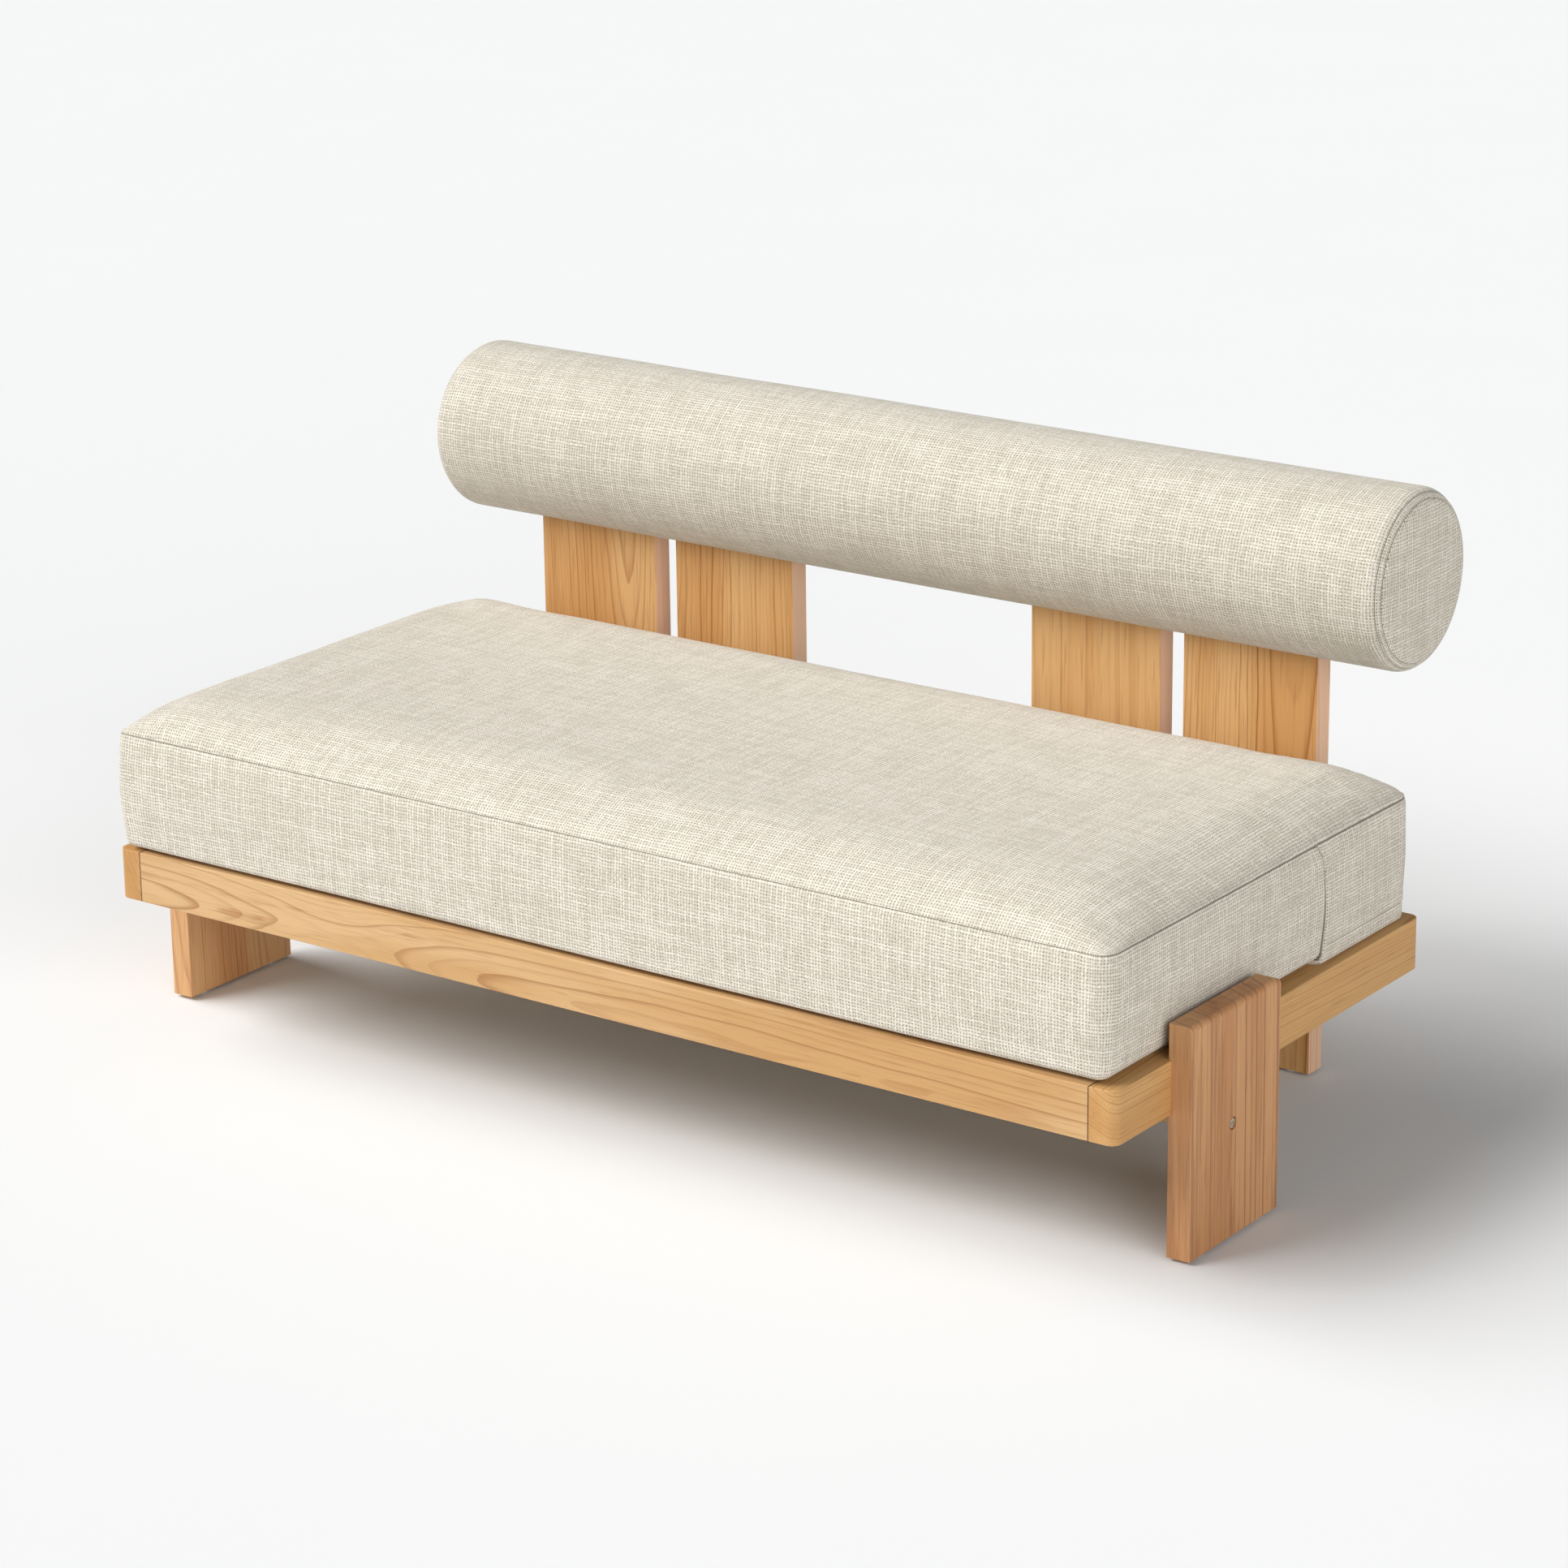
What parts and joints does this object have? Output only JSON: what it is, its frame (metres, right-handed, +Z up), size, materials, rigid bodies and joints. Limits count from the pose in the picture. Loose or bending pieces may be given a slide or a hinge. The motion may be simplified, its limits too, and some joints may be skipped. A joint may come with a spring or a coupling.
{
  "type": "daybed",
  "caption": "Low timber daybed with a slatted base, a thick loose seat cushion and a long round bolster standing on wide back posts that run down to the floor.",
  "frame": {"origin": "on the floor, at the middle of the overall length and depth", "axes": "+X along the length, to the right as seen from the front; +Y from the front to the back; +Z up"},
  "size_m": [1.658, 0.8988, 0.82],
  "materials": {
    "wood_rail": "oiled",
    "wood_leg": "oiled",
    "wood_post": "oiled",
    "wood_base": "sanded, oiled",
    "wood_peg": "sanded",
    "cover_fabric": "heavy plain weave",
    "foam": "cut foam",
    "zip_tape": "woven tape with moulded teeth",
    "zip_metal": "satin",
    "bolt_nickel": "satin nickel",
    "screw_zinc": "zinc plated",
    "bracket_zinc": "zinc plated",
    "nylon": "moulded nylon"
  },
  "bodies": {
    "frame": {"back_post_1": "wood_post", "back_post_2": "wood_post", "back_post_3": "wood_post", "back_post_4": "wood_post", "bolster_pegs": "wood_peg", "bracket_screws": "screw_zinc", "corner_bracket_front_left": "bracket_zinc", "corner_bracket_front_right": "bracket_zinc", "corner_bracket_rear_left": "bracket_zinc", "corner_bracket_rear_right": "bracket_zinc", "end_rail_left": "wood_rail", "end_rail_right": "wood_rail", "front_glides": "nylon", "front_ledger": "wood_base", "front_leg_left": "wood_leg", "front_leg_right": "wood_leg", "front_rail": "wood_rail", "front_stretcher": "wood_base", "ledger_screws": "screw_zinc", "leg_barrel_nuts": "screw_zinc", "leg_bolts": "bolt_nickel", "leg_screws": "screw_zinc", "post_bolts": "bolt_nickel", "post_inserts": "screw_zinc", "rail_dowels": "wood_peg", "rear_glides": "nylon", "rear_ledger": "wood_base", "rear_rail": "wood_rail", "slat_01": "wood_base", "slat_02": "wood_base", "slat_03": "wood_base", "slat_04": "wood_base", "slat_05": "wood_base", "slat_06": "wood_base", "slat_07": "wood_base", "slat_08": "wood_base", "slat_09": "wood_base", "slat_10": "wood_base", "slat_11": "wood_base", "slat_12": "wood_base", "slat_screws": "screw_zinc", "stretcher_dowels": "wood_peg"},
    "seat_cushion": {"cushion_cover": "cover_fabric", "cushion_foam": "foam", "cushion_zip": "zip_tape"},
    "bolster": {"bolster_cover": "cover_fabric", "bolster_foam": "foam", "bolster_spine": "wood_base", "bolster_zip": "zip_tape"},
    "cushion_zip_slider": {"cushion_zip_slider": "zip_metal"},
    "cushion_zip_pull": {"cushion_zip_pull": "zip_metal"},
    "bolster_zip_slider": {"bolster_zip_slider": "zip_metal"},
    "bolster_zip_pull": {"bolster_zip_pull": "zip_metal"}
  },
  "joints": [
    {"name": "cushion_lift", "type": "slide", "parent": "frame", "child": "seat_cushion", "axis": [0, 0, 1], "range_m": [0, 0.1]},
    {"name": "bolster_lift", "type": "slide", "parent": "frame", "child": "bolster", "axis": [0, 0, 1], "range_m": [0, 0.16]},
    {"name": "cushion_zip_slide", "type": "slide", "parent": "seat_cushion", "child": "cushion_zip_slider", "axis": [-1, 0, 0], "range_m": [0, 1.4]},
    {"name": "cushion_zip_pull_turn", "type": "hinge", "parent": "cushion_zip_slider", "child": "cushion_zip_pull", "pos_m": [0.7, 0.2864, 0.287], "axis": [0, 0, 1], "range_deg": [0, 175]},
    {"name": "bolster_zip_slide", "type": "slide", "parent": "bolster", "child": "bolster_zip_slider", "axis": [-1, 0, 0], "range_m": [0, 1.3]},
    {"name": "bolster_zip_pull_turn", "type": "hinge", "parent": "bolster_zip_slider", "child": "bolster_zip_pull", "pos_m": [0.65, 0.3917, 0.5909], "axis": [0, 0.866, 0.5], "range_deg": [-85, 85]}
  ]
}
